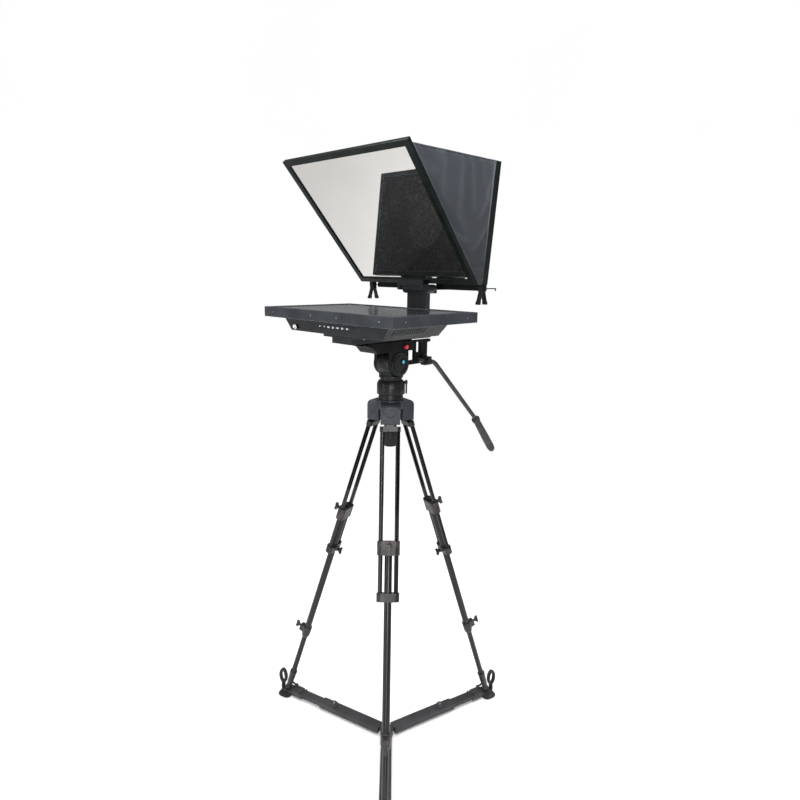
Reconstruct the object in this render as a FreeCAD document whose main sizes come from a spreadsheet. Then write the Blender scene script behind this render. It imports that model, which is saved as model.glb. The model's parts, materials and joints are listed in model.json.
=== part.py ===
"""Studio teleprompter on a fluid head and tripod with a ground spreader.

The floor is z = 0 and the tripod's axis is x = y = 0. The talent stands on the -Y side, so the
glass leans over the face-up monitor towards -Y and the camera stands behind the hood on +Y.
"""
import FreeCAD, Part
import math
import os
import re
import types

import Sketcher

DIMENSIONS = {
    # tripod: where each leg hinges, how far it leans and which way the first leg points
    "hinge_radius": 52.5,
    "hinge_height": 1120,
    "leg_splay": 18.8,
    "first_leg_turn": 44,
    # tripod: one leg, distances measured down the leg from its hinge
    "twin_radius": 6.5,
    "twin_offset": 23,
    "collar_distance": 504,
    "collar_height": 24,
    "block_height": 40,
    "casting_half_width": 33,
    "casting_depth": 26,
    "mid_radius": 11,
    "mid_bore": 9.4,
    "clamp_from_block": 530,
    "clamp_height": 38,
    "low_radius": 9,
    "foot_ball_distance": 1155.3,
    "foot_ball_radius": 12,
    "fit_gap": 0.06,
    "face_gap": 0.3,
    # ground spreader
    "pad_thickness": 14,
    "pad_width": 76,
    "pad_length": 58,
    "arm_width": 36,
    "arm_low": 9,
    "arm_high": 28,
    "arm_wall": 2.2,
    "channel_start": 25,
    "channel_end": 270,
    "bar_start": 120,
    "bar_end": 352,
    "hub_radius": 22,
    # crown, levelling ball and pan base
    "shoulder_width": 58,
    "shoulder_low": 1110,
    "crown_top": 1175,
    "shoulder_reach": 65,
    "bowl_radius": 43,
    "ball_radius": 37.5,
    "ball_height": 1178,
    "flange_radius": 36.5,
    "clamp_grip_radius": 19,
    "clamp_grip_low": 1030,
    "pan_base_radius": 42,
    "pan_base_low": 1192,
    "pan_base_high": 1232,
    # fluid head
    "drum_height": 1283,
    "drum_radius": 37,
    "drum_half_length": 24,
    "cheek_outer": 36,
    "receiver_top": 1350,
    "receiver_floor": 1343.6,
    "plate_half_width": 24,
    "pan_bar_radius": 7,
    "pan_bar_side": 46,
    "grip_radius": 13,
    # prompter base, monitor and column
    "rail_half_width": 39,
    "rail_low": 1354,
    "rail_high": 1371,
    "rail_front": -195,
    "rail_back": 132,
    "monitor_width": 520,
    "monitor_depth": 330,
    "monitor_middle": -98,
    "bezel_low": 1417,
    "bezel_high": 1445,
    "bezel_wall": 10,
    "rim_width": 14,
    "housing_low": 1380,
    "housing_wall": 2,
    "button_radius": 3,
    "button_pitch": 18.8,
    "column_front": 106,
    "column_thickness": 18,
    "column_top": 1496.4,
    # glass frame and hood
    "frame_foot_depth": 90,
    "frame_foot_height": 1526,
    "frame_lean": 131.86,
    "frame_length": 432,
    "frame_bottom_half": 229,
    "frame_top_half": 239,
    "frame_bar": 16,
    "frame_thickness": 12,
    "glass_thickness": 4,
    "hood_low": 1517,
    "hood_high": 1846,
    "hood_skin": 3,
    "lens_opening_radius": 75,
}

LEGS = [
    # number, turn from the first leg, distance from the hinge to the guide block
    (1, 0, 367),
    (2, 120, 332),
    (3, 240, 361),
]
MENU_BUTTONS = 5

Vector = FreeCAD.Vector
doc = FreeCAD.newDocument("Teleprompter")
sheet = doc.addObject("Spreadsheet::Sheet", "Dims")
for row, (alias, value) in enumerate(DIMENSIONS.items(), start=1):
    sheet.set(f"A{row}", alias)
    sheet.set(f"B{row}", str(value))
    sheet.setAlias(f"B{row}", alias)
doc.recompute()
d = types.SimpleNamespace(**DIMENSIONS)

TURN_TO_AXIS = {
    "X": FreeCAD.Rotation(Vector(0, 1, 0), 90),
    "Y": FreeCAD.Rotation(Vector(1, 0, 0), -90),
    "Z": FreeCAD.Rotation(),
}
SUB_PARTS = {}


def cell(formula):
    """Turn the sheet's names in a formula into references to its cells."""
    names = r"[a-z_]+"
    return re.sub(names, lambda m: "Dims." + m.group(0) if m.group(0) in DIMENSIONS else m.group(0), str(formula))


def bind(thing, **formulas):
    for name, formula in formulas.items():
        thing.setExpression(name, cell(formula))
    return thing


def put(thing, at, lengths, hold):
    """Bind a place: each axis holds the thing by its centre (c), low face (l) or high face (h)."""
    share = {"c": "/2", "l": "*0", "h": ""}
    for name, where, length, held in zip("xyz", at, lengths, hold):
        thing.setExpression(f"Placement.Base.{name}", cell(f"({where}) - ({length}){share[held]}"))
    return thing


def box(size, at, hold="ccc"):
    thing = doc.addObject("Part::Box", "Box")
    bind(thing, Length=size[0], Width=size[1], Height=size[2])
    return put(thing, at, size, hold)


def along(axis, length, hold):
    lengths = [length if axis == name else 0 for name in "XYZ"]
    return lengths, [hold if axis == name else "l" for name in "XYZ"]


def rod(radius, length, at, axis="Z", hold="c"):
    thing = doc.addObject("Part::Cylinder", "Rod")
    bind(thing, Radius=radius, Height=length)
    thing.Placement = FreeCAD.Placement(Vector(), TURN_TO_AXIS[axis])
    return put(thing, at, *along(axis, length, hold))


def cone(low_radius, high_radius, length, at, axis="Z", hold="l"):
    thing = doc.addObject("Part::Cone", "Cone")
    bind(thing, Radius1=low_radius, Radius2=high_radius, Height=length)
    thing.Placement = FreeCAD.Placement(Vector(), TURN_TO_AXIS[axis])
    return put(thing, at, *along(axis, length, hold))


def ball(radius, at):
    thing = bind(doc.addObject("Part::Sphere", "Ball"), Radius=radius)
    return put(thing, at, (0, 0, 0), "ccc")


def fuse(*things):
    thing = doc.addObject("Part::MultiFuse", "Fusion")
    thing.Shapes = list(things)
    return thing


def cut(base, *tools):
    thing = doc.addObject("Part::Cut", "Cut")
    thing.Base = base
    thing.Tool = tools[0] if len(tools) == 1 else fuse(*tools)
    return thing


def common(base, tool):
    thing = doc.addObject("Part::Common", "Common")
    thing.Base = base
    thing.Tool = tool
    return thing


def group(*things):
    """Separate solids that make up one sub-part."""
    thing = doc.addObject("Part::Compound", "Group")
    thing.Links = list(things)
    return thing


def fillet(base, radius, chosen):
    """Round the edges whose middle point passes the test."""
    doc.recompute()
    thing = doc.addObject("Part::Fillet", "Round")
    thing.Base = base
    edges = base.Shape.Edges
    picked = [i for i, edge in enumerate(edges, start=1) if chosen(edge.BoundBox.Center, edge)]
    thing.Edges = [(i, radius, radius) for i in picked]
    return thing


def keep(label, thing, placement=None):
    """Register a finished sub-part under the name of its file."""
    thing.Label = label
    if placement is not None:
        thing.Placement = placement
    SUB_PARTS[label] = thing
    return thing


def draw(sketch, points, first=0):
    """A closed outline whose corners are bound to the sheet."""
    values = [(sheet_value(x), sheet_value(y)) for x, y in points]
    count = len(points)
    for i, (x, y) in enumerate(values):
        after = values[(i + 1) % count]
        sketch.addGeometry(Part.LineSegment(Vector(x, y, 0), Vector(*after, 0)), False)
    for i in range(count):
        sketch.addConstraint(Sketcher.Constraint("Coincident", first + i, 2, first + (i + 1) % count, 1))
        for kind, formula, value in zip(("DistanceX", "DistanceY"), points[i], values[i]):
            index = sketch.addConstraint(Sketcher.Constraint(kind, -1, 1, first + i, 1, value))
            if isinstance(formula, str):
                sketch.setExpression(f"Constraints[{index}]", cell(formula))
    return count


PROBE = doc.addObject("Part::Box", "Probe")


def sheet_value(formula):
    """The number that a formula over the sheet comes to."""
    if not isinstance(formula, str):
        return float(formula)
    PROBE.setExpression("Placement.Base.x", cell(formula))
    PROBE.recompute()
    return PROBE.Placement.Base.x


def padded_body(name, outlines, length, plane="XY_Plane", middle=False):
    """A PartDesign body: closed outlines (outer, then holes) padded by a length."""
    body = doc.addObject("PartDesign::Body", name)
    sketch = body.newObject("Sketcher::SketchObject", name + "Outline")
    origin_plane = [feature for feature in body.Origin.OriginFeatures if feature.Role == plane][0]
    sketch.AttachmentSupport = [(origin_plane, "")]
    sketch.MapMode = "FlatFace"
    first = 0
    for points in outlines:
        first += draw(sketch, points, first)
    pad = body.newObject("PartDesign::Pad", name + "Pad")
    pad.Profile = sketch
    pad.setExpression("Length", cell(length))
    pad.Midplane = middle
    sketch.Visibility = False
    doc.recompute()
    return body


def rectangle(x_low, x_high, y_low, y_high):
    return [(x_low, y_low), (x_high, y_low), (x_high, y_high), (x_low, y_high)]


def radial(turn):
    """Placement of a thing drawn with X pointing out from the axis, for a leg at this turn."""
    return FreeCAD.Placement(Vector(), FreeCAD.Rotation(Vector(0, 0, 1), turn - 90))


def down_leg(turn):
    """Placement of a thing drawn with its hinge at the origin, Z up the leg and X outwards."""
    lean = FreeCAD.Placement(
        Vector(d.hinge_radius, 0, d.hinge_height), FreeCAD.Rotation(Vector(0, 1, 0), -d.leg_splay)
    )
    return radial(turn).multiply(lean)


def wing_knob(at, outwards):
    """A two-winged screw knob on the X axis, its wings upright."""
    x, y, z = at
    stem = rod(4, 12, (f"{x} + {6 * outwards}", y, z), "X")
    hub = rod(7, 9, (f"{x} + {13 * outwards}", y, z), "X")
    wings = fuse(*[rod(5.5, 7, (f"{x} + {16 * outwards}", y, f"{z} + {8 * side}"), "X") for side in (-1, 1)])
    web = box((6, 9, 17), (f"{x} + {16 * outwards}", y, z))
    return fuse(stem, hub, wings, web)


def capsule_block(half_width, depth, height, middle):
    """A leg casting: a block along Y with rounded ends, height along the leg."""
    end = f"{half_width} - {depth}/2"
    core = box((depth, f"2*({end})", height), (0, 0, middle))
    ends = [rod(f"{depth}/2", height, (0, f"{side}*({end})", middle)) for side in (-1, 1)]
    return fuse(core, *ends)


def twin_tubes(radius, low, high):
    return [rod(radius, f"{high} - ({low})", (0, f"{side}*twin_offset", low), hold="l") for side in (-1, 1)]


def upper_stage(number, turn):
    """Top casting with its hinge pin, the twin tubes and the lower collar."""
    tube_low = "-collar_distance - collar_height/2"
    tube_top = -20
    tubes = twin_tubes("twin_radius", tube_low, tube_top)
    cross = capsule_block(31, 20, 15, -25.5)
    tongue = fuse(rod(8, 24, (0, 0, 0), "Y"), box((11.5, 24, 24), (3.5, 0, 0), "hch"))
    pin_hole = rod(4, 60, (0, 0, 0), "Y")
    top_casting = cut(fuse(cross, tongue), pin_hole, *twin_tubes("twin_radius", tube_low, tube_top))
    pin = rod(4, "shoulder_width - 4", (0, 0, 0), "Y")
    block = capsule_block("casting_half_width", "casting_depth", "collar_height", "-collar_distance")
    bore = rod("mid_radius + fit_gap", 60, (0, 0, "-collar_distance"))
    screw_boss = rod(8, 8, ("-casting_depth/2 - 2", 0, "-collar_distance"), "X")
    screw_hole = rod("4 + fit_gap", 40, ("-casting_depth/2 + 0.8", 0, "-collar_distance"), "X", "h")
    collar = cut(fuse(block, screw_boss), bore, screw_hole, *twin_tubes("twin_radius", tube_low, tube_top))
    keep(f"leg_{number}_upper_stage", group(*tubes, top_casting, pin, collar), down_leg(turn))
    knob = wing_knob(("-casting_depth/2 - 1", 0, "-collar_distance"), -1)
    keep(f"leg_{number}_collar_knob", group(knob), down_leg(turn))


def mid_stage(number, turn, block_distance):
    """Guide block that runs on the twin tubes, the mid tube and the lower clamp."""
    clamp = f"-{block_distance} - clamp_from_block"
    tube_length = "clamp_from_block + 14"
    tube = cut(
        rod("mid_radius", tube_length, (0, 0, f"{clamp} + {tube_length}"), hold="h"),
        rod("mid_bore", "clamp_from_block + 60", (0, 0, f"{clamp} - 20"), hold="l"),
    )
    block = capsule_block("casting_half_width", 28, "block_height", f"-{block_distance}")
    boss = rod(8, 8, (15, 0, f"-{block_distance}"), "X")
    core = rod("mid_radius", 60, (0, 0, f"-{block_distance}"))
    runs = [rod("twin_radius + fit_gap", 60, (0, f"{side}*twin_offset", f"-{block_distance}")) for side in (-1, 1)]
    guide = cut(fuse(block, boss), core, *runs)
    guide_knob = wing_knob((19, 0, f"-{block_distance}"), 1)
    ring = rod("mid_radius + 4", 30, (0, 0, clamp), hold="l")
    taper = cone("low_radius + 3", "mid_radius + 4", 12, (0, 0, clamp), hold="h")
    ear = box((16, 18, 24), ("mid_radius", 0, f"{clamp} + 14"), "lcc")
    ring_bore = rod("mid_radius", 60, (0, 0, clamp), hold="l")
    sleeve_bore = rod("low_radius + fit_gap", 40, (0, 0, clamp))
    clamp_ring = cut(fuse(ring, taper, ear), ring_bore, sleeve_bore)
    clamp_knob = wing_knob(("mid_radius + 16", 0, f"{clamp} + 14"), 1)
    pieces = group(tube, guide, guide_knob, clamp_ring, clamp_knob)
    keep(f"leg_{number}_mid_stage", pieces, down_leg(turn))


def lower_stage(number, turn):
    """Thin bottom tube and the foot casting with its ball and strap peg."""
    ball_at = "-foot_ball_distance"
    socket_top = f"{ball_at} + 78"
    tube = rod("low_radius", 520, (0, 0, f"{socket_top} - 30"), hold="l")
    socket = cone("low_radius + 1.5", "low_radius + 4", 62, (0, 0, socket_top), hold="h")
    toe = ball("foot_ball_radius", (0, 0, ball_at))
    neck = rod(9, 36, (0, 0, ball_at), hold="l")
    peg = fuse(rod(3.5, 26, (-4, 0, f"{ball_at} + 28"), "X", "h"), ball(7, (-29, 0, f"{ball_at} + 28")))
    hole = rod("low_radius", 60, (0, 0, f"{socket_top} - 30"), hold="l")
    casting = cut(fuse(socket, toe, neck, peg), hole)
    keep(f"leg_{number}_lower_stage", group(tube, casting), down_leg(turn))


def spreader_arm(number, turn):
    """Foot pad with its strap, the sliding bar and the channel that it slides in."""
    middle = "(arm_low + arm_high)/2"
    foot = d.hinge_radius + d.foot_ball_distance * math.sin(math.radians(d.leg_splay))
    bar_height = "arm_high - arm_low - 2*arm_wall - 1"
    slider = box(("bar_end - bar_start", "arm_width - 2*arm_wall - 1", bar_height), ("bar_start", 0, middle), "lcc")
    shoe = box((46, "arm_width", "arm_high - arm_low"), ("bar_end", 0, "arm_low"), "lcl")
    notch = box((6, "arm_width + 2", 5), ("bar_end + 8", 0, "arm_high"), "cch")
    tongue = box((52, 28, 5), ("bar_end + 40", 0, "arm_low"), "lcl")
    bar = keep(f"leg_{number}_spreader_bar", cut(fuse(slider, shoe, tongue), notch), radial(turn))

    corner = 13
    half_length, half_width_of_pad = "pad_length/2", "pad_width/2"
    sole_outline = [
        (f"-{half_length} + {corner}", f"-{half_width_of_pad}"), (f"{half_length} - {corner}", f"-{half_width_of_pad}"),
        (half_length, f"-{half_width_of_pad} + {corner}"), (half_length, f"{half_width_of_pad} - {corner}"),
        (f"{half_length} - {corner}", half_width_of_pad), (f"-{half_length} + {corner}", half_width_of_pad),
        (f"-{half_length}", f"{half_width_of_pad} - {corner}"), (f"-{half_length}", f"-{half_width_of_pad} + {corner}"),
    ]
    sole = padded_body("SoleBody", [sole_outline], "pad_thickness")
    rounded = keep_aside(sole, FreeCAD.Placement(Vector(foot + 6, 0, 0), FreeCAD.Rotation()))
    clear = box((54, 28, 5), ("bar_end + 39", 0, "arm_low"), "lcl")
    dish = ball("foot_ball_radius + face_gap", (foot, 0, "pad_thickness + foot_ball_radius"))
    strap_foot = foot + 29
    strap = box((6, 12, 62), (strap_foot - 6, 0, 6), "lcl")
    loop = cut(rod(17, 10, (strap_foot - 1, 0, 82), "Y"), rod(8, 20, (strap_foot - 1, 0, 82), "Y"))
    pad = cut(fuse(rounded, strap, loop), clear, dish)
    keep(f"leg_{number}_foot_pad", group(pad), radial(turn))

    length = "channel_end - channel_start"
    shell = box((length, "arm_width", "arm_high - arm_low"), ("channel_start", 0, middle), "lcc")
    hollow_height = "arm_high - arm_low - 2*arm_wall"
    hollow = box((length, "arm_width - 2*arm_wall", hollow_height), ("channel_start + 12", 0, middle), "lcc")
    knob = fuse(
        rod(15, 5, (218, 0, "arm_high"), hold="l"),
        rod(11, 6, (218, 0, "arm_high + 5"), hold="l"),
    )
    channel = cut(shell, hollow)
    keep(f"leg_{number}_spreader_channel", group(channel, knob), radial(turn))
    return bar


def spreader_hub():
    body = rod("hub_radius", 26, (0, 0, 4), hold="l")
    link = box((10, "arm_width - 8", 14), (d.hub_radius - 4, 0, 12), "lcl")
    foot = rod("hub_radius - 2", 4, (0, 0, 0), hold="l")
    hub = cut(fuse(body, link), box((40, 60, 60), ("channel_start", 0, 0), "lcc"))
    keep("spreader_hub", group(hub, foot), radial(d.first_leg_turn))


def crown():
    """Three hollow shoulders around the bowl that seats the levelling ball."""
    shoulders = []
    slots = []
    for number, turn, _ in LEGS:
        height = "crown_top - shoulder_low - 3"
        block = box(("shoulder_reach - 26", "shoulder_width", height), (26, 0, "shoulder_low"), "lcl")
        top = d.crown_top - 3
        edge = lambda point, _edge: point.x > d.shoulder_reach - 1 and abs(point.z - top) < 1
        shoulder = fillet(block, 17, edge)
        recess = common(
            rod(20, 6, ("shoulder_reach - 3", 0, 1151), "X", "l"),
            box((20, 60, 40), ("shoulder_reach", 0, 1157), "cch"),
        )
        slot = box((21.5, 24.6, 19), (61.5, 0, 1129), "hch")
        pin = rod(4.1, "shoulder_width - 3.6", ("hinge_radius", 0, "hinge_height"), "Y")
        place = radial(turn + d.first_leg_turn)
        shoulders.append(keep_aside(shoulder, place))
        slots.append(keep_aside(fuse(recess, slot, pin), place))
    bowl = common(
        rod("bowl_radius", "crown_top - 1115", (0, 0, 1115), hold="l"),
        ball(50, (0, 0, "ball_height")),
    )
    seat = ball("ball_radius + face_gap", (0, 0, "ball_height"))
    stem_hole = rod(15, 60, (0, 0, 1140))
    keep("crown", cut(fuse(bowl, *shoulders), seat, stem_hole, *slots))


def keep_aside(thing, placement):
    """Turn a tool or a blank into place before it joins another shape."""
    wrapped = group(thing)
    wrapped.Placement = placement
    return wrapped


def levelling_base():
    flange_top = "pan_base_low - 0.01"
    dome = common(
        ball("ball_radius", (0, 0, "ball_height")),
        box((100, 100, 60), (0, 0, "ball_height + 4"), "cch"),
    )
    flange = rod("flange_radius", f"{flange_top} - ball_height", (0, 0, flange_top), hold="h")
    stem = rod(6, 70, (0, 0, "ball_height - 10"), hold="h")
    keep("half_ball", fuse(dome, flange, stem))

    grip = rod("clamp_grip_radius", "1104 - clamp_grip_low", (0, 0, "clamp_grip_low"), hold="l")
    grooves = [rod(2, 80, (21 * math.cos(a), 21 * math.sin(a), 1064)) for a in
               [math.tau * step / 12 for step in range(12)]]
    washer = rod(13.5, 40, (0, 0, 1104), hold="l")
    dish = ball("50 + face_gap", (0, 0, "ball_height"))
    stem_bore = rod("6 + fit_gap", 110, (0, 0, 1090), hold="l")
    tip = rod(7, 12, (0, 0, 1098), hold="l")
    keep("bowl_clamp_knob", cut(fuse(grip, washer, tip), dish, stem_bore, *grooves))

    drum = common(
        rod("pan_base_radius", "pan_base_high - pan_base_low", (0, 0, "pan_base_low"), hold="l"),
        ball("pan_base_radius + 2.5", (0, 0, "pan_base_low + 15")),
    )
    seam = cut(
        rod("pan_base_radius + 2", 2, (0, 0, 1219), hold="l"), rod("pan_base_radius - 1.2", 2, (0, 0, 1219), hold="l")
    )
    spindle_bore = rod("12 + fit_gap", 40, (0, 0, 1203), hold="l")
    lever_bore = keep_aside(rod("4 + fit_gap", 20, (33, 0, 1226), "X", "l"), radial(lever_turn()))
    keep("pan_base", cut(drum, seam, spindle_bore, lever_bore))

    pivot = rod(4, 14, (36, 0, 1226), "X", "l")
    hub = rod(7, 6, ("pan_base_radius + 0.6", 0, 1226), "X", "l")
    arm = box((5, 8, 34), ("pan_base_radius + 1.6", 0, 1226), "lch")
    keep("pan_lock_lever", group(fuse(pivot, hub, arm)), radial(lever_turn()))


def lever_turn():
    """The pan lock faces half way between the second leg and the first, on the right."""
    return d.first_leg_turn + 90


def head_housing():
    neck = rod(33, 14, (0, 0, "pan_base_high + 0.3"), hold="l")
    pedestal = box(("2*drum_half_length", 54, 40), (0, 0, "pan_base_high + 8"), "ccl")
    barrel = rod("drum_radius", "2*drum_half_length", (0, 0, "drum_height"), "X")
    spindle = rod(12, 34, (0, 0, 1204), hold="l")
    axle_bore = rod("10 + fit_gap", 80, (0, 0, "drum_height"), "X")
    keep("head_housing", cut(fuse(neck, pedestal, barrel, spindle), axle_bore))


def tilt_cradle():
    """Cheeks either side of the drum, the plate receiver on top and the arm for the pan bar."""
    inner = "drum_half_length + face_gap"
    wall = f"cheek_outer - ({inner})"
    side_outline = [
        (-135, "receiver_top"), (-135, 1345), (-108, 1337), (-92, 1321), (-36, 1321), (-36, "drum_height"),
        (36, "drum_height"), (36, 1321), (66, 1321), (66, "receiver_top"),
    ]
    profile = padded_body("ReceiverProfile", [side_outline], "2*cheek_outer", "YZ_Plane", True)
    saddle = rod("drum_radius + face_gap", f"2*({inner})", (0, 0, "drum_height"), "X")
    under = box((f"2*({inner})", 90, 40), (0, 0, 1320.6), "cch")
    cheeks = [rod(36, wall, (f"{side}*({inner} + ({wall})/2)", 0, "drum_height"), "X") for side in (-1, 1)]
    axle = rod(10, f"2*({inner}) + 2", (0, 0, "drum_height"), "X")
    channel_height = "receiver_top - receiver_floor + 2"
    channel = box(("2*(plate_half_width + face_gap)", 300, channel_height), (0, 0, "receiver_floor"), "ccl")
    receiver = cut(fuse(profile, *cheeks), saddle, under, channel)
    arm = padded_body(
        "BarArm",
        [
            [(64, 1350), (64, 1290), (30, 1290), (30, 1278), (112, 1278), (120, 1288), (120, 1340), (134, 1342),
             (134, 1350)],
            rectangle(70, 90, 1312, 1344),
        ],
        "11",
        "YZ_Plane",
    )
    arm_plate = keep_aside(arm, FreeCAD.Placement(Vector(d.cheek_outer - 11, 0, 0), FreeCAD.Rotation()))
    button_bore = rod("6 + fit_gap", 10, ("cheek_outer - 7", 22, 1333), "X", "l")
    rosette_bore = rod("5 + fit_gap", 30, ("cheek_outer - 8", 104, 1293), "X", "l")
    keep("tilt_cradle", cut(fuse(receiver, axle, arm_plate), button_bore, rosette_bore))

    caps = []
    for side in (-1, 1):
        disc = rod(35, 3, (f"{side}*(cheek_outer + 1.5)", 0, "drum_height"), "X")
        ring = cut(
            rod(27, 4, (f"{side}*(cheek_outer + 3.5)", 0, "drum_height"), "X"),
            rod(24, 6, (f"{side}*(cheek_outer + 3.5)", 0, "drum_height"), "X"),
        )
        caps.append(fuse(disc, ring))
    seat = rod(8.5, 2, ("cheek_outer + 2", 10, 1290), "X", "l")
    keep("side_caps", group(cut(caps[1], seat), caps[0]))
    keep("bubble_level", group(rod(8.5, 4, ("cheek_outer + 2", 10, 1290), "X", "l")))
    keep("release_button", group(rod(6, 11, ("cheek_outer - 3.5", 22, 1333), "X", "l")))

    lever_hub = rod(11, 8, ("-cheek_outer - 5.9", 0, "drum_height"), "X", "h")
    lever = box((6, 9, 52), ("-cheek_outer - 7", 0, "drum_height"), "hcl")
    turned = keep_aside(
        fuse(lever_hub, lever),
        FreeCAD.Placement(Vector(), FreeCAD.Rotation(Vector(1, 0, 0), -60), Vector(0, 0, d.drum_height)),
    )
    keep("tilt_lock_lever", group(turned))


PAN_BAR_ROUTE = [(68, 1292), (143, 1278), (370, 1060), (410, 1011)]


def bent_wire(points, radii):
    """Straight runs joined by tangent arcs, in the plane x = pan_bar_side."""
    route = [Vector(d.pan_bar_side, y, z) for y, z in points]
    edges = []
    start = route[0]
    for before, corner, after, radius in zip(route, route[1:], route[2:], radii):
        back = (before - corner).normalize()
        ahead = (after - corner).normalize()
        half = back.getAngle(ahead) / 2
        reach = radius / math.tan(half)
        inwards = (back + ahead).normalize()
        centre = corner + inwards * (radius / math.sin(half))
        middle = centre - inwards * radius
        edges.append(Part.LineSegment(start, corner + back * reach).toShape())
        edges.append(Part.Arc(corner + back * reach, middle, corner + ahead * reach).toShape())
        start = corner + ahead * reach
    edges.append(Part.LineSegment(start, route[-1]).toShape())
    return Part.Wire(edges)


def pan_arm():
    """Rosette clamp, the bent bar and its rubber grip."""
    wire = bent_wire(PAN_BAR_ROUTE, (48, 320))
    start = wire.Edges[0]
    circle = Part.makeCircle(d.pan_bar_radius, start.valueAt(0), start.tangentAt(0))
    bar = doc.addObject("Part::Feature", "PanBar")
    bar.Shape = wire.makePipeShell([Part.Wire([circle])], True, True)
    keep("pan_bar", bar)

    rosette = rod(13, 4, ("cheek_outer + face_gap", 104, 1293), "X", "l")
    block = box(("pan_bar_side + 10 - cheek_outer - 2", 30, 24), ("cheek_outer + 2", 104, 1286), "lcc")
    pivot = rod(5, 8, ("cheek_outer - 7", 104, 1293), "X", "l")
    cap = rod(9, 6, ("pan_bar_side + 10", 104, 1286), "X", "l")
    clamp = cut(fuse(rosette, pivot, block, cap), bar)
    keep("bar_clamp", clamp)

    low, high = PAN_BAR_ROUTE[2], PAN_BAR_ROUTE[3]
    lean = math.degrees(math.atan2(high[0] - low[0], high[1] - low[1]))
    handle = fuse(
        rod("grip_radius", 158, (0, 0, 6), hold="l"),
        ball("grip_radius", (0, 0, 164)),
        cone("grip_radius + 1.5", "grip_radius", 10, (0, 0, 0)),
    )
    place = FreeCAD.Placement(Vector(d.pan_bar_side, *low), FreeCAD.Rotation(Vector(1, 0, 0), -lean))
    keep("pan_bar_grip", cut(keep_aside(handle, place), bar))


def prompter_base():
    """Quick-release plate, the long rail and the monitor's mounting plate."""
    plate = box(("2*plate_half_width", 157, "rail_low - 1344"), (0, -16, 1344), "ccl")
    keep("quick_release_plate", cut(plate, *[rod(3.3, 40, (0, y, 1350)) for y in (-60, 20)]))

    rail_length = "rail_back - rail_front"
    rail = box(("2*rail_half_width", rail_length, "rail_high - rail_low"), (0, "rail_front", "rail_low"), "cll")
    keep("base_rail", cut(rail, *[rod(3.3, 60, (0, y, 1350)) for y in (-60, 20)]))

    outline = rectangle(-66, 66, -203, -13)
    plate_body = padded_body("VesaPlateBody", [outline], "housing_low - rail_high")
    vesa = keep_aside(plate_body, FreeCAD.Placement(Vector(0, 0, d.rail_high), FreeCAD.Rotation()))
    keep("vesa_plate", cut(vesa, *[rod(2.3, 40, (x, y, 1375)) for x, y in vesa_holes()]))


def vesa_holes():
    return [(x, -108 + y) for x in (-50, 50) for y in (-50, 50)]


def housing_solid(inset, low, high):
    """A lofted frustum from the bottom rectangle to the rectangle under the bezel."""
    sections = []
    for height, half, front, back in ((low, 186, -222, -8), (high, 213, -227, 5)):
        outline = doc.addObject("Part::Polygon", "Section")
        corners = [(-half + inset, front + inset), (half - inset, front + inset),
                   (half - inset, back - inset), (-half + inset, back - inset)]
        outline.Nodes = [Vector(x, y, height) for x, y in corners]
        outline.Close = True
        sections.append(outline)
    loft = doc.addObject("Part::Loft", "Housing")
    loft.Sections = sections
    loft.Solid = True
    loft.Ruled = True
    return loft


def button_places():
    return [(-16 + d.button_pitch * i, -225, 1401) for i in range(MENU_BUTTONS)]


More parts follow.
